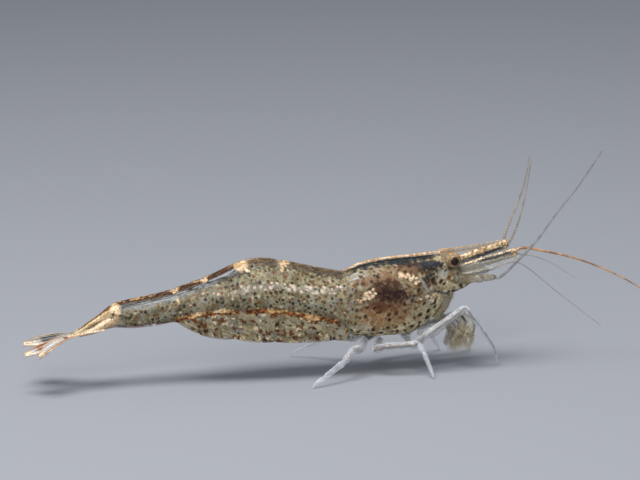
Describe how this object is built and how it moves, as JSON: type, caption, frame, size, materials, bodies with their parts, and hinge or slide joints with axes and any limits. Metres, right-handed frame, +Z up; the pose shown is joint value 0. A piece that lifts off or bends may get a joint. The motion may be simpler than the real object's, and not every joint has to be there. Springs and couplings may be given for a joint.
{
  "type": "freshwater shrimp",
  "caption": "Life-size freshwater dwarf shrimp with a clear, speckled shell, standing on the bottom with its body stretched out and feelers spread.",
  "frame": {"origin": "on the floor, under the middle of the animal's whole box, feelers included", "axes": "+X towards the head, +Y to the animal's left, +Z up from the floor that the feet stand on"},
  "size_m": [0.0458, 0.011, 0.0162],
  "materials": {
    "shell": "clear glossy shell, speckled brown, cream and blue-black over olive grey",
    "flesh": "soft wet flesh, olive grey with dark organs",
    "head_limb": "clear glossy shell, gold and cream speckles with a dark line",
    "blade": "thin clear grey blade with a pale rim and fine hairs",
    "feeler": "fine ringed whip, orange brown on one side and pale grey on the others",
    "leg": "glassy whitish grey with pale edges and a speckled core",
    "swimming_leg": "thin clear paddle with cream streaks and fine hairs",
    "tail_fan": "clear blade with cream rims, brown ribs and a blue-black patch",
    "eye": "dark pupil in a clear tan rim, wet gloss"
  },
  "bodies": {
    "root": {"carapace": "shell", "rostrum": "shell", "abdomen_1": "shell", "abdomen_2": "shell", "abdomen_3": "shell", "abdomen_4": "shell", "abdomen_5": "shell", "abdomen_6": "shell", "eye_right": "eye", "eyestalk_right": "flesh", "antennule_right": "head_limb", "antenna_base_right": "head_limb", "antennal_scale_right": "blade", "maxilliped_right": "leg", "eye_left": "eye", "eyestalk_left": "flesh", "antennule_left": "head_limb", "antenna_base_left": "head_limb", "antennal_scale_left": "blade", "maxilliped_left": "leg", "mouthparts": "flesh", "antennule_flagellum_inner_right": "feeler", "antennule_flagellum_inner_left": "feeler", "antennule_flagellum_outer_right": "feeler", "antennule_flagellum_outer_left": "feeler", "antenna_flagellum_right": "feeler", "antenna_flagellum_left": "feeler", "telson": "tail_fan", "uropod_base_right": "tail_fan", "uropod_inner_right": "tail_fan", "uropod_outer_right": "tail_fan", "uropod_base_left": "tail_fan", "uropod_inner_left": "tail_fan", "uropod_outer_left": "tail_fan", "swimming_leg_1_right": "swimming_leg", "swimming_leg_1_left": "swimming_leg", "swimming_leg_2_right": "swimming_leg", "swimming_leg_2_left": "swimming_leg", "swimming_leg_3_right": "swimming_leg", "swimming_leg_3_left": "swimming_leg", "swimming_leg_4_right": "swimming_leg", "swimming_leg_4_left": "swimming_leg", "swimming_leg_5_right": "swimming_leg", "swimming_leg_5_left": "swimming_leg", "leg_1_right": "leg", "leg_1_left": "leg", "leg_2_right": "leg", "leg_2_left": "leg", "leg_3_right": "leg", "leg_3_left": "leg", "leg_4_right": "leg", "leg_4_left": "leg", "leg_5_right": "leg", "leg_5_left": "leg"}
  },
  "joints": []
}
